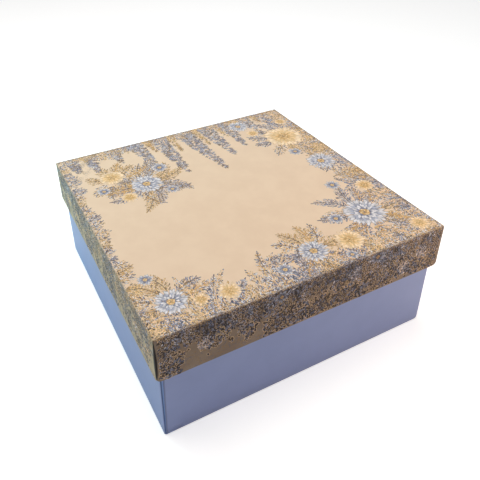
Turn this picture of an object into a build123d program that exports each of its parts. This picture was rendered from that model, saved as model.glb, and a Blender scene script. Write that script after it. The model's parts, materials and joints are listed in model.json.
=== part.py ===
from build123d import *
import os

# Square rigid sweet box: a deep base and a lid whose skirts slide down over it.
#
# +Z is up, +X is to the right of the front face, and the front face looks towards -Y. The origin is
# the centre of the underside, on the surface that the box stands on. All sizes are in millimetres.
#
# Base and lid are both trays: a grey-board panel with four grey-board walls standing on it, paper
# tape round the corners, a paper cover glued outside and turned in over the rim, and a paper lining
# glued inside. A tray is drawn with its open side up and the underside of its panel at z = 0. The
# lid is such a tray turned over.

# Driving sizes of the box
clear_width = 250.0  # inside the base, left to right
clear_length = 250.0  # inside the base, front to back
clear_height = 103.0  # floor lining to lid lining
skirt_height = 42.0  # top of the lid to the rim of its skirts
lid_play = 0.6  # gap on each side between the base and the lid

# Sheet thicknesses
board = 2.0  # grey board
cover_paper = 0.25  # outside cover
bottom_paper = 0.2  # sheet under the base
lining_paper = 0.2  # inside lining
tape_paper = 0.15  # corner tape

# Corners and folds
base_corner_radius = 1.6  # upright corners of the boards of the base
lid_corner_radius = 0.8  # upright corners of the boards of the lid
rim_radius = 4.0  # free corners of the wall boards, at the rim
base_foot_radius = 3.0  # corners of the base where it stands
corner_ease = 0.1  # each layer turns a corner this much tighter than the layer under it
fold_radius = 0.4  # outside of a fold in the cover

# How far each sheet reaches
tape_leg = 12.0  # corner tape, on each of its two walls
tape_setback = 2.0  # corner tape stops this far below the rim
ear_length = 14.0  # end of a cover, past the corner, under the lap that hides it
seam_setback = 0.5  # the lap stops this far short of the corner's rounding
turn_in = 18.0  # cover, down the inside of the walls
turn_under = 15.0  # cover, beneath the floor of the base
bottom_setback = 2.0  # bottom sheet, in from the edge of the base
lining_setback = 8.0  # wall lining of the base stops this far below the rim
skirt_lining_lap = 5.0  # skirt lining of the lid, over the edge of the turned-in cover
lining_gap = 0.3  # round the edge of the floor lining and of the lid's top lining

corners = {"front_left": (-1, -1), "front_right": (1, -1), "back_right": (1, 1), "back_left": (-1, 1)}


def block(x_ends, y_ends, z_ends):
    """A square-cornered block between two ends on each axis, given in either order."""
    low = [min(ends) for ends in (x_ends, y_ends, z_ends)]
    high = [max(ends) for ends in (x_ends, y_ends, z_ends)]
    sides = [far - near for near, far in zip(low, high)]
    return Pos(*low) * Box(*sides, align=(Align.MIN, Align.MIN, Align.MIN))


def centred(half_width, half_length, z_low, z_high):
    """A square-cornered block about the Z axis."""
    return block((-half_width, half_width), (-half_length, half_length), (z_low, z_high))


def post(half_width, half_length, radius, z_low, z_high):
    """A block about the Z axis with rounded upright corners."""
    outline = RectangleRounded(2 * half_width, 2 * half_length, radius)
    return Pos(0, 0, z_low) * extrude(outline, z_high - z_low)


class Tray:
    """The pieces of one tray, worked out from the clear size between its boards outwards.

    The free corners of the walls are rounded by rim_radius, and the corners where walls and panel
    meet by foot_radius, or square where it is 0.
    """

    def __init__(self, half_width, half_length, height, corner_radius, foot_radius):
        self.height = height  # underside of the panel to the top of the wall boards
        self.rim = height + cover_paper
        self.foot = board + lining_paper  # where the wall lining stands
        self.corner_radius = corner_radius
        self.foot_radius = foot_radius
        self.turn_edge = height - turn_in  # lower edge of the turned-in cover
        self.inner_x = half_width
        self.inner_y = half_length
        self.board_x = half_width + board
        self.board_y = half_length + board
        self.cover_x = self.board_x + tape_paper + cover_paper
        self.cover_y = self.board_y + tape_paper + cover_paper
        self.lap_y = self.cover_y + cover_paper

    def plate(self, x_ends, y_ends, paper, through):
        """A wall with rounded corners, as thick as its ends on the through axis, grown by paper."""
        wall = block(x_ends, y_ends, (-paper, self.height + paper))
        wall = fillet(wall.edges().filter_by(through).group_by(Axis.Z)[-1], rim_radius + paper)
        if self.foot_radius > 0:
            wall = fillet(wall.edges().filter_by(through).group_by(Axis.Z)[0], self.foot_radius + paper)
        return wall

    def shell(self, outward, paper, upright_radius):
        """Panel and walls as one solid, with all faces grown by paper and the outer ones by outward."""
        x, y = self.board_x + outward, self.board_y + outward
        inside_x, inside_y = self.inner_x - paper, self.inner_y - paper
        solid = post(x, y, max(upright_radius, self.foot_radius + paper), -paper, board)
        for toward in (-1, 1):
            solid += self.plate((-x, x), (toward * inside_y, toward * y), paper, Axis.Y)
            solid += self.plate((toward * inside_x, toward * x), (-y, y), paper, Axis.X)
        bounds = post(x, y, upright_radius, -paper, self.rim)
        if paper > 0:
            bounds = fillet(bounds.edges().group_by(Axis.Z)[0], fold_radius)
        return solid & bounds

    def panel_board(self):
        return post(self.board_x, self.board_y, max(self.corner_radius, self.foot_radius), 0, board)

    def end_board(self, toward):
        """Wall board at one end, toward -1 or 1 along Y, as wide as the panel and standing on it."""
        y_ends = (toward * self.inner_y, toward * self.board_y)
        wall = self.plate((-self.board_x, self.board_x), y_ends, 0, Axis.Y)
        return wall & post(self.board_x, self.board_y, self.corner_radius, board, self.height)

    def side_board(self, toward):
        """Wall board at one side, toward -1 or 1 along X, between the end boards."""
        x_ends = (toward * self.inner_x, toward * self.board_x)
        wall = self.plate(x_ends, (-self.board_y, self.board_y), 0, Axis.X)
        return wall & centred(self.board_x, self.inner_y, board, self.height)

    def corner_tape(self, toward_x, toward_y):
        """Tape folded round the outside of one upright corner, between the rounded board corners."""
        low, top = self.foot_radius, self.height - max(rim_radius, tape_setback)
        inner_radius = self.corner_radius - corner_ease
        outer_x, outer_y = self.board_x + tape_paper, self.board_y + tape_paper
        sleeve = post(outer_x, outer_y, inner_radius + tape_paper, low, top)
        sleeve -= post(self.board_x, self.board_y, inner_radius, low, top)
        x_ends = (toward_x * (self.board_x - tape_leg), toward_x * outer_x)
        y_ends = (toward_y * (self.board_y - tape_leg), toward_y * outer_y)
        return sleeve & block(x_ends, y_ends, (low, top))

    def cover(self):
        """Cover over the whole outside, turned in over the rim."""
        inner_radius = self.corner_radius - corner_ease + tape_paper - corner_ease
        outside = self.shell(tape_paper + cover_paper, cover_paper, inner_radius + cover_paper)
        boards = self.shell(tape_paper, 0, inner_radius)
        return outside - boards - centred(self.inner_x, self.inner_y, 0, self.turn_edge)

    def lap(self, toward_x, toward_y):
        """Where the cover of an end face lies over the ear that comes round from the side."""
        seam = self.cover_x - self.corner_radius - seam_setback
        x_ends = (toward_x * seam, toward_x * (self.board_x - ear_length))
        y_ends = (toward_y * self.cover_y, toward_y * self.lap_y)
        low = max(self.foot_radius, fold_radius)
        return block(x_ends, y_ends, (low, self.rim - rim_radius))

    def panel_lining(self):
        """Sheet on the inside of the panel."""
        half_width, half_length = self.inner_x - lining_gap, self.inner_y - lining_gap
        return centred(half_width, half_length, board, self.foot)

    def wall_lining(self, top):
        """Strip round the inside of the walls, stepping over the edge of the turned-in cover."""
        far = cover_paper + lining_paper
        lining = self.sleeve(0, lining_paper, self.foot, self.turn_edge)
        lining += self.sleeve(0, far, self.turn_edge - lining_paper, self.turn_edge)
        return lining + self.sleeve(cover_paper, far, self.turn_edge, top)

    def sleeve(self, near, far, z_low, z_high):
        """Square tube inside the walls, between two distances from the boards."""
        tube = centred(self.inner_x - near, self.inner_y - near, z_low, z_high)
        return tube - centred(self.inner_x - far, self.inner_y - far, z_low, z_high)


# The clear height of the base runs from the top of its floor lining to its rim
base = Tray(
    clear_width / 2 + lining_paper,
    clear_length / 2 + lining_paper,
    clear_height + board + lining_paper - cover_paper,
    base_corner_radius,
    base_foot_radius,
)
base_floor = bottom_paper + cover_paper  # underside of the floor board
base_rim = base_floor + base.rim

# The lid's skirts pass outside the base's laps, and its top lining rests on the base's rim
skirt_layers = lid_play + lining_paper + cover_paper
lid = Tray(
    base.cover_x + skirt_layers,
    base.lap_y + skirt_layers,
    skirt_height - 2 * cover_paper,
    lid_corner_radius,
    0,
)
box_height = base_rim + lining_paper + board + cover_paper


def base_pieces():
    """Every piece of the base by its name, in place in the closed box."""
    wall_cover = base.cover() + base.lap(-1, -1)
    wall_cover -= centred(base.board_x - turn_under, base.board_y - turn_under, -cover_paper, 0)
    bottom_x, bottom_y = base.cover_x - bottom_setback, base.cover_y - bottom_setback
    pieces = {
        "base_floor_board": base.panel_board(),
        "base_front_board": base.end_board(-1),
        "base_back_board": base.end_board(1),
        "base_left_board": base.side_board(-1),
        "base_right_board": base.side_board(1),
        "base_wall_cover": wall_cover,
        "base_bottom_cover": centred(bottom_x, bottom_y, -cover_paper - bottom_paper, -cover_paper),
        "base_floor_lining": base.panel_lining(),
        "base_wall_lining": base.wall_lining(base.height - lining_setback),
    }
    for name, (toward_x, toward_y) in corners.items():
        pieces[f"base_corner_tape_{name}"] = base.corner_tape(toward_x, toward_y)
    return {name: Pos(0, 0, base_floor) * piece for name, piece in pieces.items()}


def lid_pieces():
    """Every piece of the lid by its name, in place in the closed box.

    Turning the tray over about the X axis swaps its front and back.
    """
    cover = lid.cover()
    for toward_x, toward_y in corners.values():
        cover += lid.lap(toward_x, toward_y)
    pieces = {
        "lid_top_board": lid.panel_board(),
        "lid_front_board": lid.end_board(1),
        "lid_back_board": lid.end_board(-1),
        "lid_left_board": lid.side_board(-1),
        "lid_right_board": lid.side_board(1),
        "lid_cover": cover,
        "lid_top_lining": lid.panel_lining(),
        "lid_skirt_lining": lid.wall_lining(lid.turn_edge + skirt_lining_lap),
    }
    for name, (toward_x, toward_y) in corners.items():
        pieces[f"lid_corner_tape_{name}"] = lid.corner_tape(toward_x, -toward_y)
    turned_over = Pos(0, 0, box_height - cover_paper) * Rot(180, 0, 0)
    return {name: turned_over * piece for name, piece in pieces.items()}


os.makedirs("parts", exist_ok=True)
for name, piece in {**base_pieces(), **lid_pieces()}.items():
    export_step(piece, f"parts/{name}.step")
print("Closed box:", 2 * lid.cover_x, "x", 2 * lid.lap_y, "x", box_height, "mm, rim of the base at", base_rim)
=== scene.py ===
import json
import math
import random

import bpy
import numpy as np
from mathutils import Matrix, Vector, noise


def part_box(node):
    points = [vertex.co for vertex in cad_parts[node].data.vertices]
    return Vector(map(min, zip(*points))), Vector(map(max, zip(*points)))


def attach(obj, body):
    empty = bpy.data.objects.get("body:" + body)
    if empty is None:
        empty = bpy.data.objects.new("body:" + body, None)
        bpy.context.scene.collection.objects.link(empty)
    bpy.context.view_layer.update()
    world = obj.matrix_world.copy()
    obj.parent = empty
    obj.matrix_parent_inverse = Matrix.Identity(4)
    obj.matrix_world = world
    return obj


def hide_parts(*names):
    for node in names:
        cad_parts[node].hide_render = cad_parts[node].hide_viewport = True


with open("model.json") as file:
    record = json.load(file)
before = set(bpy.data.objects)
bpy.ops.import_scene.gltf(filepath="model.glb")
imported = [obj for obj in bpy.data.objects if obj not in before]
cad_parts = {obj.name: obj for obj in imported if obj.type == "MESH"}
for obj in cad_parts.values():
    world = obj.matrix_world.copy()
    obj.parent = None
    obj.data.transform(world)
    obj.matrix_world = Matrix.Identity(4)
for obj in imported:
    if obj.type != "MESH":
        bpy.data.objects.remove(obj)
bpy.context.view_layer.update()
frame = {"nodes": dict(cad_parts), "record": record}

# Square sweet box: the blue and the printed paper with their folds, laps and seams, and the floral
# print on the lid. Lengths are in metres in the shape, and in millimetres on the flat printed sheet.
#
# The printed sheet is laid out flat, as the printer has it: u runs to the right and v to the back from
# the middle of the lid. Past the folds it goes on down the skirts. fold_over() brings a place on that
# sheet to where it lies on the box, so the print and the paper under it always agree.

MM = 0.001

# The lid and the base as they are packed
lid_low, lid_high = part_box("lid_cover")
base_low, base_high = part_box("base_wall_cover")
relief = 0.12 * MM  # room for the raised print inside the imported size
lap_paper = 0.25 * MM  # the front and back skirts lie this far out, over the ears
lid_x = lid_high.x - relief
lid_y = lid_high.y - relief
lid_top = lid_high.z - relief
lid_rim = lid_low.z
base_x = base_high.x
base_y = base_high.y
base_top = base_high.z
base_foot = base_low.z

# The paper
paper = 0.12 * MM  # thickness of a sheet
fold = 0.9 * MM  # radius of the fold along the top of the lid
rim_round = 0.45 * MM  # radius of the paper round the edge of a wall
wall = 2.65 * MM  # a wall with its papers
turn_in = 18 * MM
turn_under = 15 * MM
nose = 4.2 * MM  # rounding of the free corners of the skirts and of the base's rim
foot_nose = 3.6 * MM  # rounding of the corners that the base stands on
sharp_foot, worn_foot = 1.5 * MM, 4.3 * MM  # the same at the front left and the front right corner
lid_corner = 0.9 * MM  # upright corners
base_corner = 1.6 * MM
lap_top, lap_foot, lap_far = 124.4 * MM, 126.4 * MM, 106 * MM  # blue lap, left of the front's middle
lap_lift = 0.22 * MM
least = 0.02 * MM  # smallest corner radius that a ring is drawn with

# The flat printed sheet
skirt = lid_top - lid_rim
fold_u = (lid_x - fold) / MM  # where the flat top ends
fold_v = (lid_y - fold) / MM
sheet_end = (fold * math.pi / 2 + skirt - fold - rim_round) / MM  # from the fold to the rim
rim_w = fold_v + sheet_end  # where the rim lies, outwards from the middle
border_w = 131  # where the leafy border springs, on the fold


# Meshes

def mesh_object(name, vertices, faces, material=None, **attributes):
    """A smooth mesh object at the origin, with a number or a vector of each attribute for each vertex."""
    mesh = bpy.data.meshes.new(name)
    mesh.from_pydata([tuple(vertex) for vertex in vertices], [], [tuple(face) for face in faces])
    mesh.polygons.foreach_set("use_smooth", [True] * len(mesh.polygons))
    for label, values in attributes.items():
        values = np.asarray(values, np.float32)
        kind, field = ("FLOAT", "value") if values.ndim == 1 else ("FLOAT_VECTOR", "vector")
        mesh.attributes.new(label, kind, "POINT").data.foreach_set(field, values.ravel())
    if material:
        mesh.materials.append(material)
    mesh.update()
    piece = bpy.data.objects.new(name, mesh)
    bpy.context.scene.collection.objects.link(piece)
    return piece


def applied(piece):
    """Turns the modifiers of a piece into its plain mesh."""
    bpy.context.view_layer.update()
    evaluated = piece.evaluated_get(bpy.context.evaluated_depsgraph_get())
    mesh = bpy.data.meshes.new_from_object(evaluated)
    piece.modifiers.clear()
    piece.data = mesh
    return piece


def thickened(piece):
    """Gives a sheet that is drawn by its outer face its thickness."""
    solidify = piece.modifiers.new("thickness", "SOLIDIFY")
    solidify.thickness = paper
    solidify.offset = -1
    return applied(piece)


def finished(piece, body, slot, *nodes):
    """Rides a piece on its body, and hides the nodes that it stands for; its slot is not used."""
    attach(piece, body)
    if nodes:
        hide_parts(*nodes)
    return piece


def grid_faces(rows, columns, closed):
    """Quads between the rows of a grid of vertices, each row a closed loop or not."""
    faces = []
    for row in range(rows - 1):
        for column in range(columns if closed else columns - 1):
            after = (column + 1) % columns
            here, below = row * columns, (row + 1) * columns
            faces.append((here + column, below + column, below + after, here + after))
    return faces


def stations(start, end):
    """Places along a side, close together near its ends."""
    near_ends = np.array([0, 0.5, 1, 1.6, 2.3, 3.1, 4, 5.5, 9]) * MM
    between = np.linspace(start + 15 * MM, end - 15 * MM, 21)
    return np.concatenate([start + near_ends, between, (end - near_ends)[::-1]])


def ring(half_x, half_y, radius):
    """Points round a rounded rectangle, anticlockwise from its right side, and their side numbers.

    Sides 0 to 3 are right, back, left and front. The corner arcs belong to the right and left sides.
    """
    radius = max(radius, least)
    points, sides = [], []
    for side in range(4):
        turn = side * math.pi / 2
        along, out = (half_y, half_x) if side % 2 == 0 else (half_x, half_y)
        for place in stations(radius - along, along - radius):
            points.append((
                out * math.cos(turn) - place * math.sin(turn),
                out * math.sin(turn) + place * math.cos(turn),
            ))
            sides.append(side)
        centre_x = (half_x - radius) * (1 if side in (0, 3) else -1)
        centre_y = (half_y - radius) * (1 if side in (0, 1) else -1)
        for angle in np.linspace(turn, turn + math.pi / 2, 7)[1:-1]:
            points.append((centre_x + radius * math.cos(angle), centre_y + radius * math.sin(angle)))
            sides.append((0, 2, 2, 0)[side])
    return np.array(points), np.array(sides)


def from_corners(points, half_x, half_y):
    """Distance of the points of a ring from the nearest corner, along the side."""
    return np.maximum(half_x - abs(points[:, 0]), half_y - abs(points[:, 1]))


def corner_rise(from_corner, radius):
    """How far a rounded free corner lifts the edge, this far along it from the corner."""
    inside = np.clip(radius - from_corner, 0, radius)
    return radius - np.sqrt(radius * radius - inside * inside)


def near_share(distance):
    """How much of a corner's rounding reaches a row this far from the edge."""
    return min(max(1 - distance / (3 * nose), 0), 1)


def arc(centre, radius, start, end, steps):
    """Points on an arc between two angles in degrees, as (inset, height) pairs."""
    points = []
    for angle in np.linspace(math.radians(start), math.radians(end), steps + 1):
        points.append((centre[0] - radius * math.cos(angle), centre[1] + radius * math.sin(angle)))
    return points


def skirt_section(top, rows):
    """Section of a skirt as (inset, height): over the fold, down, round the rim and up inside."""
    rim_centre = lid_rim + rim_round
    section = arc((fold, top - fold), fold, 90, 0, 5)
    section += [(0, height) for height in np.linspace(top - fold, rim_centre, rows)[1:-1]]
    section += arc((rim_round, rim_centre), rim_round, 0, -90, 3)
    section += arc((wall - rim_round, rim_centre), rim_round, -90, -180, 3)
    return section + [(wall, lid_rim + turn_in)]


def lengths(section):
    """Distance along a section from its first point."""
    steps = np.hypot(*np.diff(np.array(section), axis=0).T)
    return np.concatenate([[0], np.cumsum(steps)])


# Node layouts

class Layout:
    """Short calls for laying out the nodes of a material, a shader group or a geometry tree."""

    def __init__(self, tree):
        self.tree = tree

    def feed(self, socket, value):
        if isinstance(value, bpy.types.NodeSocket):
            self.tree.links.new(value, socket)
        else:
            socket.default_value = value

    def node(self, kind, inputs=(), **settings):
        node = self.tree.nodes.new(kind)
        for name, value in settings.items():
            setattr(node, name, value)
        for key, value in dict(inputs).items():
            self.feed(node.inputs[key], value)
        return node

    def math(self, operation, *values):
        return self.node("ShaderNodeMath", enumerate(values), operation=operation).outputs[0]

    def vector(self, operation, *values):
        node = self.node("ShaderNodeVectorMath", enumerate(values), operation=operation)
        return node.outputs["Value" if operation == "LENGTH" else "Vector"]

    def split(self, vector):
        return self.node("ShaderNodeSeparateXYZ", {"Vector": vector}).outputs

    def join(self, x, y, z):
        return self.node("ShaderNodeCombineXYZ", {"X": x, "Y": y, "Z": z}).outputs[0]

    def named(self, name, kind):
        """A named attribute in a geometry tree."""
        return self.node("GeometryNodeInputNamedAttribute", {"Name": name}, data_type=kind).outputs[0]

    def attribute(self, name, output="Vector"):
        """A named attribute in a material."""
        return self.node("ShaderNodeAttribute", attribute_name=name).outputs[output]

    def step(self, value, low, high):
        """Smooth step of a value, from 0 at low to 1 at high."""
        inputs = {"Value": value, "From Min": low, "From Max": high}
        return self.node("ShaderNodeMapRange", inputs, interpolation_type="SMOOTHSTEP").outputs[0]

    def mix(self, factor, first, second, blend="MIX"):
        node = self.node("ShaderNodeMix", data_type="RGBA", blend_type=blend)
        for index, value in ((0, factor), (6, first), (7, second)):
            self.feed(node.inputs[index], value)
        return node.outputs[2]

    def noise(self, vector, scale, detail=3.0, roughness=0.5):
        inputs = {"Vector": vector, "Scale": scale, "Detail": detail, "Roughness": roughness}
        return self.node("ShaderNodeTexNoise", inputs).outputs[0]

    def effect(self, group, inputs):
        return self.node("ShaderNodeGroup", inputs, node_tree=group).outputs

    def bump(self, height, strength):
        inputs = {"Height": height, "Strength": strength, "Distance": 0.2 * MM}
        return self.node("ShaderNodeBump", inputs).outputs[0]


def node_group(name, kind, inputs, outputs):
    """An empty group with named sockets: its tree, layout, inputs and outputs."""
    group = bpy.data.node_groups.new(name, kind)
    for in_out, sockets in (("INPUT", inputs), ("OUTPUT", outputs)):
        for label, socket in sockets.items():
            group.interface.new_socket(label, in_out=in_out, socket_type="NodeSocket" + socket)
    nodes = Layout(group)
    return group, nodes, nodes.node("NodeGroupInput").outputs, nodes.node("NodeGroupOutput").inputs


# Printed paper of the lid

def lid_sheet(material):
    """Top and side skirts, with the ears that go round the upright corners.

    Its points carry an attribute that is 1 where the inside of a corner seam shows, which the material
    paints near black as painted shade.
    """
    closed_seam_shade, gape = 0.3, 2.0  # width of the strip painted dark as shade inside a seam, in mm, and what a gape adds to it
    half_x, half_y = lid_x, lid_y - lap_paper
    section = skirt_section(lid_top, 13)
    outer, sides = ring(half_x, half_y, lid_corner)
    from_corner = from_corners(outer, half_x, half_y)
    rise = corner_rise(from_corner, nose)
    vertices, sheet, ear = [], [], []
    for (inset, height), length in zip(section, lengths(section)):
        points, _ = ring(half_x - inset, half_y - inset, lid_corner - inset)
        lift = rise * near_share(height - lid_rim)
        open_share = open_depth(height)
        on_wall = height < lid_top - fold * 0.3 and inset < rim_round * 0.4
        for (x, y), (outer_x, outer_y), side, up in zip(points, outer, sides, lift):
            vertices.append((x, y, height + up))
            reach = length - fold - up
            if side % 2 == 0:
                sheet.append((math.copysign(half_x + reach, outer_x), outer_y, 0))
            else:
                sheet.append((outer_x, math.copysign(half_y + reach, outer_y), 0))
            # Painted shade inside the corner seams: the walls under the front and back flaps, and a strip
            # of the side walls beside them, wider where the front left seam gapes
            around = (half_y - abs(outer_y)) / MM
            seam = closed_seam_shade + (gape * open_share if outer_x < 0 and outer_y < 0 else 0)
            ear.append(min(max(2 * (seam - around) + 0.5, 0), 1) if on_wall else 0)
    columns = len(outer)
    faces = grid_faces(len(section), columns, True) + [tuple(range(columns))]
    sheet = np.array(sheet) / MM
    piece = mesh_object("lid_printed_sheet", vertices, faces, material, sheet=sheet, ear=ear)
    return finished(thickened(piece), "lid", "printed_cover", "lid_cover")


def open_depth(height):
    """How far a gaping side edge of a flap stands open at a height, from 0 at its ends to 1."""
    depth = min(max((lid_top - height) / skirt, 0), 1) ** 1.2
    return math.sin(math.pi * depth) ** 0.8


def lid_flap(name, toward, gapes, material):
    """Front or back skirt, over the ears, with two free side edges that gape a little.

    The gapes are how far its left and its right edge stand off the corner where they are widest.
    """
    bed = 4 * MM  # how far the flap reaches onto the top, where it sinks into the sheet
    closed_gap = 0.25 * MM
    proud = 0.006 * MM
    section = [(fold + bed, lid_top - proud)] + skirt_section(lid_top + proud, 15)
    vertices, sheet = [], []
    for (inset, height), length in zip(section, lengths(section)):
        left, right = (closed_gap + gape * open_depth(height) for gape in gapes)
        if height > lid_top - fold / 2:
            left, right = left + fold, right + fold
        across = stations(-lid_x + left, lid_x - right)
        rise = corner_rise(lid_x - abs(across), nose) * near_share(height - lid_rim)
        for x, up in zip(across, rise):
            vertices.append((x, toward * (lid_y - inset), height + up))
            sheet.append((x, toward * (lid_y - fold - bed + length - up), 0))
    faces = grid_faces(len(section), len(across), False)
    if toward > 0:
        faces = [face[::-1] for face in faces]
    sheet = np.array(sheet) / MM
    piece = mesh_object(name, vertices, faces, material, sheet=sheet, ear=np.zeros(len(sheet)))
    return finished(thickened(piece), "lid", "printed_cover")


# Blue paper of the base

def base_sheet(material):
    """Plain paper up the inside of the walls, over the rim, down the outside and under the floor."""
    top_centre, foot_centre = base_top - rim_round, base_foot + rim_round
    section = [(wall, base_top - turn_in)]
    section += arc((wall - rim_round, top_centre), rim_round, 180, 90, 3)
    section += arc((rim_round, top_centre), rim_round, 90, 0, 3)
    section += [(0, height) for height in np.linspace(top_centre, foot_centre, 14)[1:-1]]
    section += arc((rim_round, foot_centre), rim_round, 0, -90, 3)
    section.append((turn_under, base_foot))
    outer, _ = ring(base_x, base_y, base_corner)
    from_corner = from_corners(outer, base_x, base_y)
    foot_radii = np.where(outer[:, 1] > 0, foot_nose, np.where(outer[:, 0] > 0, worn_foot, sharp_foot))
    vertices = []
    for inset, height in section:
        points, _ = ring(base_x - inset, base_y - inset, base_corner - inset)
        shift = -near_share(base_top - height) * corner_rise(from_corner, nose)
        if inset < wall:
            shift += near_share(height - base_foot) * corner_rise(from_corner, foot_radii)
        vertices += [(x, y, height + lift) for (x, y), lift in zip(points, shift)]
    faces = grid_faces(len(section), len(outer), True)
    strip_end = 8 * MM - lap_foot  # the start of the strip reaches this far along, under the lap
    # Marks the strip that comes round the front left corner, which the material paints bluer, with a line
    # of painted shade along the corner
    ear = [y < -base_y + base_corner * 0.4 and x < strip_end for x, y, _ in vertices]
    piece = mesh_object("base_blue_sheet", vertices, faces, material, ear=ear)
    return finished(thickened(piece), "base", "blue_cover", "base_wall_cover")


def base_lap(material):
    """End of the blue strip, glued over its start beside the front left corner.

    Its cut edge leans towards the corner at the foot, and its far side sinks into the wall.
    """
    heights = np.linspace(base_foot + foot_nose / 3, base_top - nose, 24)
    shares = (0, 0.02, 0.04, 0.08, 0.3, 0.5, 0.7, 0.85, 1)
    sink = 1.3  # from the lifted edge to the far side, in lifts
    vertices = []
    for height, up in zip(heights, np.linspace(0, 1, len(heights))):
        edge = lap_foot + (lap_top - lap_foot) * up
        for share in shares:
            lift = lap_lift * (1 - sink * share * share * (3 - 2 * share))
            vertices.append((-(edge + (lap_far - edge) * share), -(base_y + lift), height))
    faces = [face[::-1] for face in grid_faces(len(heights), len(shares), False)]
    # Points along the cut edge, painted darker: dirt on the edge, and the painted shadow of the lifted
    # edge
    cut = [share <= shares[2] for share in shares] * len(heights)
    piece = mesh_object("base_blue_lap", vertices, faces, material, cut=cut)
    return finished(thickened(piece), "base", "blue_cover")


# The print

INKS = {
    "night": (38, 34, 42),
    "slate": (82, 87, 108),
    "steel": (128, 131, 150),
    "mist": (176, 178, 194),
    "pearl": (226, 221, 224),
    "lilac": (160, 150, 162),
    "umber": (72, 58, 48),
    "bronze": (142, 117, 88),
    "amber": (196, 144, 86),
    "gold": (212, 168, 108),
    "straw": (238, 204, 154),
    "cream": (251, 224, 190),
    "copper": (246, 210, 170),
}
INK_NAMES = list(INKS)

BLUES = ("slate", "steel", "mist", "pearl", "steel", "lilac")
GOLDS = ("gold", "straw", "straw", "gold", "bronze")
MIXED = ("steel", "gold", "pearl", "gold", "straw", "cream", "slate", "pearl")
SHADE = ("night", "slate", "umber", "steel")
HANGING = ("steel", "mist", "lilac", "bronze", "pearl", "bronze", "steel")
RUSSET = ("umber", "bronze", "umber", "slate")
DUSK = ("slate", "night", "night", "steel", "umber")
DARK_LINES = ("umber", "night", "umber", "slate")
COPPER_LINES = ("copper", "bronze", "copper", "straw")


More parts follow.
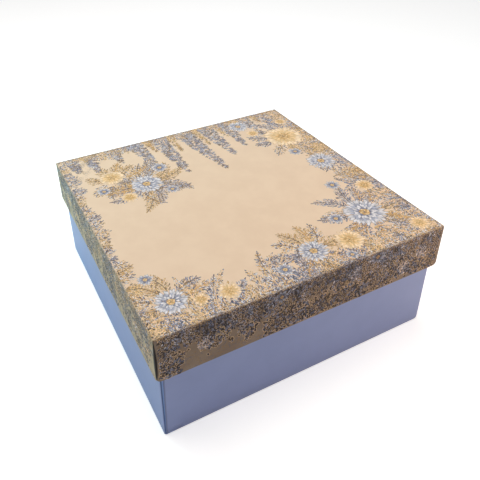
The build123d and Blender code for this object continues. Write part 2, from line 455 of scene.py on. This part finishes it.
class Print:
    """The marks of the print: small leaves, petals and outlined curls, with their sizes and inks.

    Places and headings are those of the flat sheet. A border stretch is drawn along one side, with t
    along the side from its middle and w outwards from the middle of the lid.
    """

    def __init__(self, seed):
        self.random = random.Random(seed)
        self.marks = {"leaf": [], "petal": [], "curl": []}
        self.blooms = []

    def mark(self, shape, u, v, angle, length, width, body, outline, level):
        if on_sheet(u, v, width / 4) and on_sheet(*ahead(u, v, angle, length), width / 4):
            inks = (INK_NAMES.index(body), INK_NAMES.index(outline))
            self.marks[shape].append((u, v, angle, length, width, *inks, level, self.random.random()))

    def covered(self, u, v):
        """Whether a flower lies over this place."""
        for bloom_u, bloom_v, radius in self.blooms:
            if math.hypot(u - bloom_u, v - bloom_v) < radius:
                return True
        return False

    def tint(self, u, v, sets):
        """One of these ink sets, in patches a few centimetres wide."""
        level = 0.5 + 1.2 * noise.noise((u / 16, v / 16, 0.5)) + self.random.gauss(0, 0.1)
        return sets[int(min(max(level, 0), 0.999) * len(sets))]

    def leaf(self, u, v, angle, length, body, outline, shape="leaf", lift=0):
        middle = ahead(u, v, angle, length / 2)
        if not self.covered(*middle) and not bare(*middle):
            slimness = 0.52 if shape == "leaf" else 0.7
            level = lift + self.random.uniform(0, 0.3)
            self.mark(shape, u, v, angle, length, length * slimness, body, outline, level)

    def twig(self, u, v, angle, length, inks):
        """A short golden stem over the leaves, or on a skirt golden ringlets to its sides."""
        middle = ahead(u, v, angle, length / 2)
        if self.covered(*middle) or bare(*middle):
            return
        if max(abs(u), abs(v)) < fold_u - 2:
            self.mark("leaf", u, v, angle, length, 1.1, *inks, 0.6)
        else:
            for side in (1, -1):
                if self.random.random() < 0.5:
                    aside = side * self.random.uniform(0.3, 2.4)
                    place = (u - aside * math.sin(angle), v + aside * math.cos(angle))
                    size = self.random.uniform(1.9, 2.9)
                    turned = self.random.uniform(0, math.tau)
                    self.mark("curl", *place, turned, size, size * 0.85, "umber", inks[0], 0.6)

    def frond(self, u, v, heading, length, width, inks, outlines=DARK_LINES, shape="leaf", size=2.7):
        """A stem with sprigs of small leaves on both sides, widest below its middle.

        A third of the fronds have golden twigs, and half of those on the skirts.
        """
        rand = self.random
        on_top = max(abs(u), abs(v)) < fold_u - 2
        golden = rand.random() < (0.35 if on_top else 0.5)
        stem = ("gold", "amber") if on_top else ("copper", "bronze")
        bend = rand.uniform(-0.045, 0.045)
        step = 0.64 * size
        for index in range(max(int(length / step), 3)):
            share = index * step / length
            half = width / 2 * math.sin(math.pi * (0.12 + 0.88 * share) ** 0.75) + 0.4
            if golden:
                self.twig(u, v, heading, step * 1.7, stem)
            else:
                self.leaf(u, v, heading, step * 1.3, "bronze", outlines[0])
            for side in (1, -1):
                reach = 0.2
                while reach < half:
                    spread = heading + side * rand.uniform(0.7, 1.2)
                    place = ahead(u, v, spread, reach)
                    length_here = size * rand.uniform(0.75, 1.2) * (1 - 0.2 * share)
                    turned = spread - side * rand.uniform(0.1, 0.6)
                    body = rand.choice(inks)
                    self.leaf(*place, turned, length_here, body, rand.choice(outlines), shape)
                    reach += 0.56 * size
                if golden and index % 4 == 2:
                    self.twig(u, v, heading + side * 0.8, half * 0.8, stem)
            heading += bend * step
            u, v = ahead(u, v, heading, step)
        self.leaf(u, v, heading, size, inks[0], outlines[0], shape)

    def raceme(self, u, v, heading, length, width, inks):
        """A tapering cluster of florets, thick where it springs and thin at its tip."""
        rand = self.random
        for index in range(int(length * width * 0.2)):
            share = 1 - (1 - rand.random()) ** 0.6
            across = rand.uniform(-0.5, 0.5) * width * (1.02 - share) ** 0.6
            floret_u = u + share * length * math.cos(heading) - across * math.sin(heading)
            floret_v = v + share * length * math.sin(heading) + across * math.cos(heading)
            turned, body = rand.uniform(0, math.tau), rand.choice(inks)
            for petal in range(4):
                angle = turned + petal * math.tau / 4
                size = rand.uniform(1.6, 2.5)
                self.leaf(floret_u, floret_v, angle, size, body, rand.choice(DARK_LINES))

    def bloom(self, u, v, radius, tips, root, heart=("gold", "straw")):
        """A full flower: pointed petals that spiral in from a ragged outline to a beaded heart."""
        rand = self.random
        self.blooms.append((u, v, radius * 0.82))
        golden_angle = math.pi * (3 - math.sqrt(5))
        count, beads = round(0.16 * radius * radius + 4.5 * radius), 24
        for index in range(count):
            share = index / count
            angle = index * golden_angle + rand.gauss(0, 0.07)
            tip = radius * math.sqrt(1 - share) * rand.uniform(0.94, 1.05)
            length = min((0.24 + 0.16 * (1 - share)) * radius + 1.2, tip)
            place = ahead(u, v, angle, tip - length)
            body = tips[min(int(share * len(tips)), len(tips) - 1)]
            self.mark("petal", *place, angle, length, 0.13 * radius + 0.8, body, root, 0.4 + 0.5 * share)
        size = 0.1 * radius + 0.8
        for index in range(beads):
            angle = index * golden_angle
            reach = radius * 0.14 * math.sqrt(index / beads)
            place = ahead(u, v, angle, reach - 0.5)
            self.mark("petal", *place, angle, size, size, heart[index % 2], "bronze", 1.4)

    def rosette(self, u, v, radius, inks, outline):
        """A round of outlined curls in rings, as a small open flower seen from above."""
        if bare(u, v):
            return
        length, width = 2.4, 2.2
        for ring_radius in np.arange(radius, 0.8, -1.9):
            count = max(round(math.tau * ring_radius / 2.3), 5)
            root, level = ring_radius - 2, 0.5 - 0.04 * ring_radius
            for index in range(count):
                angle = math.tau * (index + self.random.uniform(-0.2, 0.2)) / count
                place = ahead(u, v, angle, root)
                body = inks[index % len(inks)]
                self.mark("curl", *place, angle, length, width, body, outline, level)

    def thicket(self, side, w_range, pitch, chance, sets, outlines, size, shape="leaf", lift=0, start=0):
        """Loose leaves over a stretch along one side, with this chance of one at each place.

        The chance grows from none at w = start over the next 26 mm.
        """
        rand = self.random
        for t in np.arange(-border_w, border_w, pitch):
            for w in np.arange(*w_range, pitch):
                leaf_t, leaf_w = t + rand.uniform(0, pitch), w + rand.uniform(0, pitch)
                grown = min(max((leaf_w - start) / 26, 0), 1) ** 1.2
                if rand.random() < chance * grown:
                    place = side_place(side, leaf_t, leaf_w)
                    body = rand.choice(self.tint(*place, sets))
                    length = size * rand.uniform(0.75, 1.25)
                    angle = rand.uniform(0, math.tau)
                    self.leaf(*place, angle, length, body, rand.choice(outlines), shape, lift)


def ahead(u, v, angle, reach):
    """The place that lies this far from (u, v) in this direction."""
    return (u + reach * math.cos(angle), v + reach * math.sin(angle))


def side_place(side, t, w):
    """The place (u, v) of a point along a side. Sides 0 to 3 are right, back, left and front."""
    turn = side * math.pi / 2
    return (w * math.cos(turn) - t * math.sin(turn), w * math.sin(turn) + t * math.cos(turn))


def side_of(u, v):
    """The side that a place (u, v) belongs to."""
    if abs(u) > abs(v):
        return "right" if u > 0 else "left"
    return "back" if v > 0 else "front"


def on_sheet(u, v, margin):
    """Whether a place lies this far inside the paper, clear of corners, rims and rounded ends."""
    out_u, out_v = abs(u) - fold_u, abs(v) - fold_v
    if out_u > 0 and out_v > 0:
        return False
    out = max(out_u, out_v)
    if out <= 0:
        return True
    along = abs(v) if out_u > out_v else abs(u)
    from_corner = lid_x / MM - along
    gaping = v < 0 and out_v > out_u and u < 0
    from_edge, from_rim = (1.4 if gaping else 1.2), 0.1
    room = sheet_end - from_rim - corner_rise(from_corner, nose / MM)
    return from_corner > from_edge + margin and out < room


def bare(u, v):
    """Whether the paper stays bare here: below the foliage that hangs down a skirt to a ragged line.

    On the front skirt the foliage hangs least left of the middle.
    """
    out_u, out_v = abs(u) - fold_u, abs(v) - fold_v
    out = max(out_u, out_v)
    if out < 8:
        return False
    along, reach, sway = (v, 36, 20) if out_u > out_v else (u, 50, 36)
    if v < 0 and out_v > out_u:
        reach -= 34 * math.exp(-((u + 72) / 40) ** 2)
    ragged = sway * noise.noise((along / 13, out_u > out_v, 2.7)) + 14 * noise.noise((u / 4, v / 4, 5.2))
    return out > max(reach + ragged, 14)


def lid_flowers(design):
    """Bouquets in the corners and on the sides, large flowers before small ones."""
    pale = ("pearl", "pearl", "mist", "pearl", "steel")
    small_pale = ("pearl", "mist", "steel")
    warm = ("cream", "cream", "straw", "straw", "gold")
    small_warm = ("cream", "straw", "gold")
    large = (
        (86, -84, 21), (-64, 50, 17), (106, 6, 16), (-106, -104, 14), (16, -106, 14), (70, 112, 13),
    )
    for u, v, radius in large:
        design.bloom(u, v, radius, pale, "slate")
    large_warm = ((102, 68, 23), (50, -108, 14), (-90, 76, 14), (-64, -114, 10), (116, -118, 10))
    for u, v, radius in large_warm:
        design.bloom(u, v, radius, warm, "gold")
    small = (
        (114, -50, 10), (58, -80, 8), (88, -36, 8), (76, 90, 8), (94, 34, 8), (-42, 72, 9), (-86, 36, 9),
        (-16, -114, 8), (-104, 56, 7), (-86, -112, 7), (-114, -74, 7), (40, -124, 6), (118, 100, 8),
        (-46, 30, 7),
    )
    for index, (u, v, radius) in enumerate(small):
        tips, root = (small_pale, "slate") if index % 3 else (small_warm, "gold")
        design.bloom(u, v, radius, tips, root)
    on_folds = ((3, 60, 136, 8), (3, -30, 138, 6.5), (0, 20, 139, 7), (2, -40, 137, 6), (1, 50, 138, 7))
    for side, t, w, radius in on_folds:
        u, v = side_place(side, t, w)
        design.bloom(u, v, radius, ("mist", "steel", "slate"), "night", ("bronze", "gold"))


def lid_sprays(design):
    """Fronds that stand out all round the bouquets."""
    rand = design.random
    sprays = (
        (-64, 50, 16, 15, 32), (-88, 70, 14, 9, 24), (86, -84, 21, 12, 26),
        (102, 68, 23, 11, 22), (-106, -104, 14, 9, 26), (16, -106, 14, 10, 24),
    )
    for u, v, radius, count, length in sprays:
        for index in range(count):
            angle = math.tau * (index + rand.uniform(-0.25, 0.25)) / count
            start = ahead(u, v, angle, 0.8 * radius)
            inks = rand.choice((BLUES, MIXED, GOLDS, HANGING))
            turned = angle + rand.uniform(-0.2, 0.2)
            design.frond(*start, turned, length * rand.uniform(0.75, 1.15), 12, inks)


def lid_clusters(design):
    """Tapering clusters that hang from the back edge, each with a short golden one beside it."""
    clusters = (
        (-116, 34), (-98, 40), (-74, 34), (-48, 60), (-22, 82),
        (8, 94), (34, 74), (58, 62), (84, 44), (108, 36),
    )
    for u, length in clusters:
        heading = math.radians(272 + design.random.uniform(-6, 6))
        design.raceme(u, border_w, heading, length, 11 + length / 10, HANGING)
        design.raceme(u + 13, border_w, heading, length * 0.5, 8, GOLDS)


def lid_border(design, side, depth, closeness):
    """The border of one side of the top and its skirt: how deep and how close the foliage is.

    Fronds and loose leaves grow in from the fold and hang down from it, outlined curls stand on the
    rim, and rosettes lie between. The left and right skirts have few curls.
    """
    rand = design.random
    half = 128  # the fronds spring this far to both sides of the middle
    turn = side * math.pi / 2
    on_end = side in (1, 3)
    top_sets = (BLUES, BLUES, MIXED, MIXED, MIXED, GOLDS, GOLDS)
    fold_sets = (SHADE, SHADE, BLUES, DUSK, RUSSET) if on_end else (SHADE, BLUES, MIXED, RUSSET, GOLDS)
    rim_sets = (DUSK, DUSK, RUSSET, RUSSET)
    fold_lines = ("night", "umber")
    for t in np.arange(-half, half, 4.2 / closeness):
        reach = depth * (0.75 + 0.35 * math.sin(t * 0.09 + side) + rand.uniform(-0.15, 0.2))
        heading = turn + math.pi + rand.uniform(-0.5, 0.5)
        place = side_place(side, t, border_w)
        design.frond(*place, heading, reach, 10, design.tint(*place, top_sets))
        down = turn + rand.uniform(-0.35, 0.35)
        place = side_place(side, t + 2, border_w - 1)
        design.frond(*place, down, 24, 9, design.tint(*place, fold_sets), fold_lines, size=3.2)
    for t in np.arange(-half, half, 4.6 if on_end else 10):
        up = turn + math.pi + rand.uniform(-0.5, 0.5)
        place = side_place(side, t, rim_w)
        inks = design.tint(*place, rim_sets)
        design.frond(*place, up, rand.uniform(12, 26), 12, inks, COPPER_LINES, "curl", 4.4)
    for t in np.arange(-half + 10, half - 6, 14):
        u, v = side_place(side, t + rand.uniform(-5, 5), rand.uniform(border_w + 10, border_w + 31))
        radius = rand.uniform(4, 8)
        inks = design.tint(u, v, fold_sets)
        design.rosette(u, v, radius, inks, rand.choice(COPPER_LINES))
    inner, upper = (border_w - depth, border_w), (border_w, border_w + 16)
    start = border_w - 0.75 * depth
    over_fold = (border_w - 1.2, border_w + 0.8)
    design.thicket(side, inner, 2.6, closeness, top_sets, DARK_LINES, 2.9, start=start)
    design.thicket(side, upper, 2.8, 0.8, fold_sets, fold_lines, 4.0)
    design.thicket(side, over_fold, 0.8, closeness, top_sets, DARK_LINES, 1.2, lift=0.9)
    curls = 0.65 if on_end else 0.25
    design.thicket(side, (border_w + 12, rim_w), 3.3, curls, rim_sets, COPPER_LINES, 4.4, "curl")
    design.thicket(side, (border_w + 33, rim_w), 2.5, curls, rim_sets, COPPER_LINES, 2.7, "curl")


def lid_print():
    """The whole print: bouquets, a leafy border of uneven depth round an open middle, leafy skirts."""
    design = Print(seed=4)
    lid_flowers(design)
    lid_sprays(design)
    lid_clusters(design)
    for side, depth, closeness in ((0, 44, 0.9), (1, 16, 0.8), (2, 12, 0.45), (3, 40, 0.85)):
        lid_border(design, side, depth, closeness)
    return design


def mark_tree():
    """Geometry nodes that put a small raised leaf or petal on every point of their mesh.

    The points carry the attributes angle, size and ink. The leaf is a cone with six sides, closed
    below. Its attribute along runs from 0 at its base to 1 at its tip, and edge from 0 on its ridge to
    1 on its outline.
    """
    inputs = {"Points": "Geometry", "Tip width": "Float", "Waist": "Float", "Ink": "Material"}
    outputs = {"Marks": "Geometry"}
    tree, nodes, given, result = node_group("printed mark", "GeometryNodeTree", inputs, outputs)

    # A disc of radius 1 with a hub above, and a plain closed face below
    disc = {"Vertices": 6, "Radius": 1.0}
    over = nodes.node("GeometryNodeMeshCircle", disc, fill_type="TRIANGLE_FAN").outputs["Mesh"]
    under = nodes.node("GeometryNodeMeshCircle", disc, fill_type="NGON").outputs["Mesh"]
    under = nodes.node("GeometryNodeFlipFaces", {"Mesh": under}).outputs["Mesh"]
    both = nodes.node("GeometryNodeJoinGeometry")
    tree.links.new(under, both.inputs[0])
    tree.links.new(over, both.inputs[0])
    whole = nodes.node("GeometryNodeMergeByDistance", {"Geometry": both.outputs[0]}).outputs[0]

    # Drawn out to a leaf along X, narrower on both sides of its waist
    place = nodes.node("GeometryNodeInputPosition").outputs[0]
    reach = nodes.math("MINIMUM", nodes.vector("LENGTH", place), 1.0)
    along = nodes.math("MULTIPLY_ADD", nodes.split(place)[0], 0.5, 0.5)
    for name, value in (("edge", reach), ("along", along)):
        inputs = {"Geometry": whole, "Name": name, "Value": value}
        whole = nodes.node("GeometryNodeStoreNamedAttribute", inputs, data_type="FLOAT").outputs[0]
    from_waist = nodes.math("ABSOLUTE", nodes.math("SUBTRACT", along, given["Waist"]))
    narrower = nodes.math("MULTIPLY", from_waist, nodes.math("SUBTRACT", 1.0, given["Tip width"]))
    half_width = nodes.math("MULTIPLY_ADD", narrower, -0.5, 0.5)
    across = nodes.math("MULTIPLY", nodes.split(place)[1], half_width)
    shape = nodes.join(along, across, nodes.math("SUBTRACT", 1.0, reach))
    leaf = nodes.node("GeometryNodeSetPosition", {"Geometry": whole, "Position": shape}).outputs[0]

    instances = nodes.node("GeometryNodeInstanceOnPoints", {
        "Points": given["Points"], "Instance": leaf,
        "Rotation": nodes.join(0.0, 0.0, nodes.named("angle", "FLOAT")),
        "Scale": nodes.named("size", "FLOAT_VECTOR"),
    }).outputs["Instances"]
    real = nodes.node("GeometryNodeRealizeInstances", {"Geometry": instances}).outputs["Geometry"]
    inked = nodes.node("GeometryNodeSetMaterial", {"Geometry": real, "Material": given["Ink"]})
    nodes.feed(result["Marks"], inked.outputs["Geometry"])
    return tree


def fold_over(flat):
    """Brings points (u, v, h) of the flat sheet, in millimetres, to where they lie on the lid."""
    u, v, h = flat.T * MM
    out_u, out_v = abs(u) - (lid_x - fold), abs(v) - (lid_y - fold)
    x, y, z = u.copy(), v.copy(), lid_top + h
    for place, over, other, half in ((x, out_u, out_v, lid_x), (y, out_v, out_u, lid_y)):
        past = (over > 0) & (over >= other)
        turn = np.clip(over / fold, 0, math.pi / 2)
        down = np.clip(over - fold * math.pi / 2, 0, None)
        reach = half - fold + (fold + h) * np.sin(turn)
        place[past] = (np.sign(place) * reach)[past]
        z[past] = (lid_top - fold + (fold + h) * np.cos(turn) - down)[past]
    return np.column_stack([x, y, z])


def print_piece(name, marks, tree, look):
    """The marks of one part of the print as one plain mesh, folded onto the lid."""
    marks = np.array(marks)
    u, v, angle, length, width, body, outline, level, tone = marks.T
    lift = 0.012 + 0.05 * level
    thickness = 0.025 + 0.01 * tone
    size = np.column_stack([length, width, thickness])
    ink = np.column_stack([(body + 0.5) / len(INKS), (outline + 0.5) / len(INKS), tone])
    piece = mesh_object(name, np.column_stack([u, v, lift]), [], angle=angle, size=size, ink=ink)
    modifier = piece.modifiers.new("marks", "NODES")
    modifier.node_group = tree
    for socket in tree.interface.items_tree:
        if socket.name in look:
            modifier[socket.identifier] = look[socket.name]
    piece = applied(piece)
    flat = np.empty(len(piece.data.vertices) * 3)
    piece.data.vertices.foreach_get("co", flat)
    piece.data.vertices.foreach_set("co", fold_over(flat.reshape(-1, 3)).ravel())
    piece.data.update()
    return finished(piece, "lid", "printed_cover")


# Materials

def rgb(red, green, blue):
    """Linear colour of an sRGB colour with channels from 0 to 255."""
    def linear(channel):
        level = channel / 255
        return level / 12.92 if level <= 0.04045 else ((level + 0.055) / 1.055) ** 2.4
    return (linear(red), linear(green), linear(blue), 1.0)


def fibre_group():
    """Fine tooth and soft clouding of paper and board."""
    inputs = {"Vector": "Vector", "Fibre size": "Float", "Cloud size": "Float"}
    outputs = {"Height": "Float", "Cloud": "Float"}
    group, nodes, given, result = node_group("paper fibre", "ShaderNodeTree", inputs, outputs)
    fine = nodes.noise(given["Vector"], nodes.math("DIVIDE", 1.0, given["Fibre size"]), 2.0, 0.7)
    coarse = nodes.noise(given["Vector"], nodes.math("DIVIDE", 0.3, given["Fibre size"]), 2.0, 0.6)
    height = nodes.math("MULTIPLY_ADD", coarse, 0.6, nodes.math("MULTIPLY", fine, 0.4))
    nodes.feed(result["Height"], height)
    cloud = nodes.noise(given["Vector"], nodes.math("DIVIDE", 1.0, given["Cloud size"]), 3.0, 0.6)
    nodes.feed(result["Cloud"], cloud)
    return group


def wear_group():
    """Where a folded edge is rubbed: a broken line, from the distance to the fold."""
    inputs = {"Vector": "Vector", "Distance": "Float", "Width": "Float", "Amount": "Float"}
    outputs = {"Mask": "Float"}
    group, nodes, given, result = node_group("rubbed edge", "ShaderNodeTree", inputs, outputs)
    near = nodes.math("SUBTRACT", 1.0, nodes.step(given["Distance"], 0.0, given["Width"]))
    patches = nodes.noise(given["Vector"], 0.35, 4.0, 0.75)
    threshold = nodes.math("SUBTRACT", 1.0, given["Amount"])
    chipped = nodes.step(patches, threshold, nodes.math("ADD", threshold, 0.12))
    nodes.feed(result["Mask"], nodes.math("MULTIPLY", near, chipped))
    return group


def new_material(name, roughness):
    """A material with its roughness, its layout and the sockets of its shader."""
    material = bpy.data.materials.new(name)
    material.use_nodes = True
    surface = material.node_tree.nodes["Principled BSDF"].inputs
    surface["Roughness"].default_value = roughness
    surface["Specular IOR Level"].default_value = 0.3
    return material, Layout(material.node_tree), surface


def paper_material(name, light, dark, roughness, fibre, fibre_size, bump):
    """Plain paper or board: two close sRGB colours clouded together, with a fine tooth."""
    material, nodes, surface = new_material(name, roughness)
    place = nodes.node("ShaderNodeTexCoord").outputs["Object"]
    place = nodes.vector("MULTIPLY", place, (1 / MM, 1 / MM, 1 / MM))
    texture = nodes.effect(fibre, {"Vector": place, "Fibre size": fibre_size, "Cloud size": 22.0})
    cloud = nodes.step(texture["Cloud"], 0.3, 0.7)
    nodes.feed(surface["Base Color"], nodes.mix(cloud, rgb(*dark), rgb(*light)))
    nodes.feed(surface["Normal"], nodes.bump(texture["Height"], bump))
    return material


def blue_paper(fibre):
    """Plain blue paper, bluer on the strip that comes round the front left corner under the lap, with a
    line of painted shade along that corner, and a darker line along the lap's cut edge that is partly
    dirt and partly painted shadow.
    """
    material = paper_material("blue_paper", (158, 175, 226), (154, 171, 222), 0.36, fibre, 0.35, 0.12)
    shader = material.node_tree.nodes["Principled BSDF"].inputs
    shader["Specular IOR Level"].default_value = 0.5
    surface = shader["Base Color"]
    plain = surface.links[0].from_socket
    nodes = Layout(material.node_tree)
    place = nodes.split(nodes.node("ShaderNodeTexCoord").outputs["Object"])[0]
    from_corner = nodes.math("MULTIPLY_ADD", place, 1 / MM, base_x / MM)
    ear = nodes.attribute("ear", "Fac")
    # Painted shade: a dark line along the rounded front left corner, on the strip
    corner_fold_shade = nodes.math("SUBTRACT", 1.0, nodes.step(from_corner, 0.9, 1.6))
    strip = nodes.mix(ear, plain, rgb(146, 180, 240))
    strip = nodes.mix(nodes.math("MULTIPLY", ear, corner_fold_shade), strip, rgb(70, 98, 162))
    # Darker line along the lap's cut edge: dirt, and the painted shadow of its lifted edge
    nodes.feed(surface, nodes.mix(nodes.attribute("cut", "Fac"), strip, rgb(128, 142, 190)))
    return material


def printed_ground(fibre, wear):
    """The printed sheet between the marks: cream in the open middle and laced at the border, with painted
    shade on the skirts: tan on the left and right, brown on the front and back.
    """
    material, nodes, surface = new_material("printed_paper", 0.5)
    sheet = nodes.attribute("sheet")
    across = nodes.split(sheet)
    size_u, size_v = nodes.math("ABSOLUTE", across[0]), nodes.math("ABSOLUTE", across[1])
    outward = nodes.math("MAXIMUM", size_u, size_v)
    corner = nodes.math("MULTIPLY", nodes.math("ADD", size_u, size_v), 0.62)
    border = nodes.step(nodes.math("MAXIMUM", outward, corner), border_w - 15, border_w + 5)
    # Painted shade: the skirts' ground is darker than the top's, and the front and back skirts are
    # darkest
    shaded = nodes.step(outward, border_w - 1, border_w + 1)
    texture = nodes.effect(fibre, {"Vector": sheet, "Fibre size": 0.5, "Cloud size": 26.0})
    cloud = nodes.step(texture["Cloud"], 0.32, 0.7)
    middle = nodes.mix(cloud, rgb(235, 207, 179), rgb(240, 213, 185))
    shaded_front_skirt = nodes.mix(cloud, rgb(138, 120, 104), rgb(152, 134, 116))
    shaded_side_skirt = nodes.mix(cloud, rgb(204, 184, 147), rgb(216, 194, 157))
    to_the_side = nodes.math("GREATER_THAN", size_u, size_v)
    colour = nodes.mix(shaded, middle, nodes.mix(to_the_side, shaded_front_skirt, shaded_side_skirt))

    # Laced leaf veins printed in between, thicker towards the edge
    scaled = {"Vector": sheet, "Scale": 0.55}
    cells = nodes.node("ShaderNodeTexVoronoi", scaled, feature="DISTANCE_TO_EDGE").outputs["Distance"]
    veins = nodes.math("SUBTRACT", 1.0, nodes.step(cells, 0.04, 0.16))
    thicket = nodes.step(nodes.noise(sheet, 0.12, 3.0, 0.65), 0.42, 0.58)
    lace = nodes.math("MULTIPLY", nodes.math("MULTIPLY", veins, thicket), nodes.step(border, 0.15, 0.8))
    hue = nodes.step(nodes.noise(sheet, 0.4, 1.0), 0.45, 0.55)
    vein_colour = nodes.mix(hue, rgb(150, 116, 70), rgb(96, 98, 116))
    colour = nodes.mix(nodes.math("MULTIPLY", lace, 0.6), colour, vein_colour)

    # Rubbed folds, and painted shade inside the open corner seams
    crease = fold_u + 0.5
    distance = nodes.math("ABSOLUTE", nodes.math("SUBTRACT", outward, crease))
    amount = nodes.math("MULTIPLY_ADD", to_the_side, -0.12, 0.5)
    inputs = {"Vector": sheet, "Distance": distance, "Width": 1.0, "Amount": amount}
    rubbed = nodes.effect(wear, inputs)["Mask"]
    colour = nodes.mix(rubbed, colour, rgb(255, 242, 212))
    # Painted shade: near black where the inside of a corner seam shows
    colour = nodes.mix(nodes.attribute("ear", "Fac"), colour, rgb(26, 14, 11))
    nodes.feed(surface["Base Color"], colour)
    nodes.feed(surface["Roughness"], nodes.math("MULTIPLY_ADD", rubbed, 0.3, 0.48))
    nodes.feed(surface["Normal"], nodes.bump(texture["Height"], 0.25))
    return material


def ink_material(name, root, outline_width):
    """Printed ink: each mark has a body ink, and an outline ink along its edge and at its root."""
    material, nodes, surface = new_material(name, 0.42)
    ink = nodes.split(nodes.attribute("ink"))
    colours = []
    for channel in (ink[0], ink[1]):
        ramp = nodes.node("ShaderNodeValToRGB", {"Fac": channel})
        ramp.color_ramp.interpolation = "CONSTANT"
        stops = ramp.color_ramp.elements
        while len(stops) < len(INKS):
            stops.new(0.5)
        for index, colour in enumerate(INKS.values()):
            stops[index].position = index / len(INKS)
            stops[index].color = rgb(*colour)
        colours.append(ramp.outputs[0])
    tone = nodes.math("MULTIPLY_ADD", ink[2], 0.36, 0.82)
    body = nodes.mix(1.0, colours[0], nodes.join(tone, tone, tone), "MULTIPLY")
    away = nodes.step(nodes.attribute("along", "Fac"), 0.0, root)
    outline = nodes.step(nodes.attribute("edge", "Fac"), 1 - outline_width, 1.0)
    inside = nodes.math("SUBTRACT", 1.0, outline)
    nodes.feed(surface["Base Color"], nodes.mix(nodes.math("MULTIPLY", away, inside), colours[1], body))
    return material


fibre = fibre_group()
wear = wear_group()
printed = printed_ground(fibre, wear)
leaf_ink = ink_material("leaf_ink", 0.3, 0.3)
petal_ink = ink_material("petal_ink", 0.6, 0.3)
curl_ink = ink_material("curl_ink", 0.1, 0.42)
slots = {
    "grey_board": paper_material("grey_board", (176, 168, 154), (158, 150, 138), 0.85, fibre, 0.8, 0.5),
    "corner_tape": paper_material("kraft_tape", (196, 166, 122), (184, 152, 108), 0.6, fibre, 0.5, 0.3),
    "blue_cover": blue_paper(fibre),
    "lining": paper_material("white_lining", (244, 242, 236), (236, 233, 226), 0.6, fibre, 0.4, 0.2),
    "printed_cover": printed,
}
for part in frame["record"]["subparts"]:
    mesh = frame["nodes"][part["node"]].data
    mesh.materials.clear()
    mesh.materials.append(slots[part["material_slot"]])


# The papers and the print

lid_sheet(printed)
lid_flap("lid_front_flap", -1, (1.3 * MM, 0.15 * MM), printed)
lid_flap("lid_back_flap", 1, (0.15 * MM, 0.15 * MM), printed)
base_sheet(slots["blue_cover"])
base_lap(slots["blue_cover"])

design = lid_print()
tree = mark_tree()
looks = {
    "leaf": {"Tip width": 0.2, "Waist": 0.38, "Ink": leaf_ink},
    "curl": {"Tip width": 0.5, "Waist": 0.5, "Ink": curl_ink},
    "petal": {"Tip width": 0.45, "Waist": 0.62, "Ink": petal_ink},
}
for side in ("right", "back", "left", "front"):
    for shape, look in looks.items():
        marks = [mark for mark in design.marks[shape] if side_of(*mark[:2]) == side]
        print_piece(f"lid_print_{side}_{shape}", marks, tree, look)


# Floor, light and camera

def floor():
    """Plain pale floor, as white as the backdrop where the camera sees it, that keeps the shadow."""
    piece = mesh_object("floor", [(-3, -3, 0), (3, -3, 0), (3, 3, 0), (-3, 3, 0)], [(0, 1, 2, 3)])
    material, nodes, surface = new_material("pale_floor", 0.9)
    surface["Specular IOR Level"].default_value = 0.1
    surface["Base Color"].default_value = (0.82, 0.82, 0.82, 1)
    surface["Emission Color"].default_value = (1, 1, 1, 1)
    seen = nodes.node("ShaderNodeLightPath").outputs["Is Camera Ray"]
    nodes.feed(surface["Emission Strength"], nodes.math("MULTIPLY", seen, 0.55))
    piece.data.materials.append(material)


def lamp(name, colour, level, place, size, mirrored=True):
    """A square soft lamp that lights the middle of the box to this level where it faces the lamp.

    One that isn't mirrored leaves no bright patch on the lid where the view catches it.
    """
    light = bpy.data.lights.new(name, "AREA")
    light.shape = "SQUARE"
    light.size = size
    light.color = colour
    way = Vector((0, 0, 0.06)) - Vector(place)
    light.energy = level * math.pi ** 2 * way.length_squared
    piece = bpy.data.objects.new(name, light)
    piece.location = place
    piece.rotation_euler = way.to_track_quat("-Z", "Y").to_euler()
    piece.visible_glossy = mirrored
    bpy.context.scene.collection.objects.link(piece)


def studio_world():
    """Even pale light from all round, and plain white where the camera sees it."""
    world = bpy.data.worlds.new("studio")
    world.use_nodes = True
    nodes = Layout(world.node_tree)
    background = world.node_tree.nodes["Background"].inputs
    background["Color"].default_value = (1, 1, 1, 1)
    path = nodes.node("ShaderNodeLightPath").outputs
    seen = nodes.math("MAXIMUM", path["Is Camera Ray"], path["Is Glossy Ray"])
    seen = nodes.math("MAXIMUM", seen, path["Is Transmission Ray"])
    strength = nodes.node("ShaderNodeMix", {"Factor": seen, "A": 0.18, "B": 1.0}).outputs[0]
    nodes.feed(background["Strength"], strength)
    bpy.context.scene.world = world


def photo_camera():
    """The photograph's view, from the front left and above."""
    lens = bpy.data.cameras.new("camera")
    lens.sensor_width = 36
    lens.lens = 42.155
    lens.shift_x = 0.0550
    lens.shift_y = -0.1564
    piece = bpy.data.objects.new("camera", lens)
    piece.location = (-0.20882, -0.38088, 0.39456)
    turned = Matrix.Identity(3)
    for angle, axis in ((-26.644, "Z"), (90 - 30.708, "X"), (-1.143, "Z")):
        turned = turned @ Matrix.Rotation(math.radians(angle), 3, axis)
    piece.rotation_euler = turned.to_euler()
    bpy.context.scene.collection.objects.link(piece)
    bpy.context.scene.camera = piece


floor()
studio_world()
lamp("overhead", (1, 0.99, 0.97), 0.76, (-0.15, 0.25, 1.4), 1.2)
lamp("left", (0.42, 0.92, 0.95), 0.34, (-0.36, 0.5, 0.24), 0.2, mirrored=False)
lamp("right front", (1.0, 0.72, 0.52), 0.32, (0.46, -0.36, 0.2), 0.2, mirrored=False)
photo_camera()
bpy.context.scene.view_settings.view_transform = "Standard"
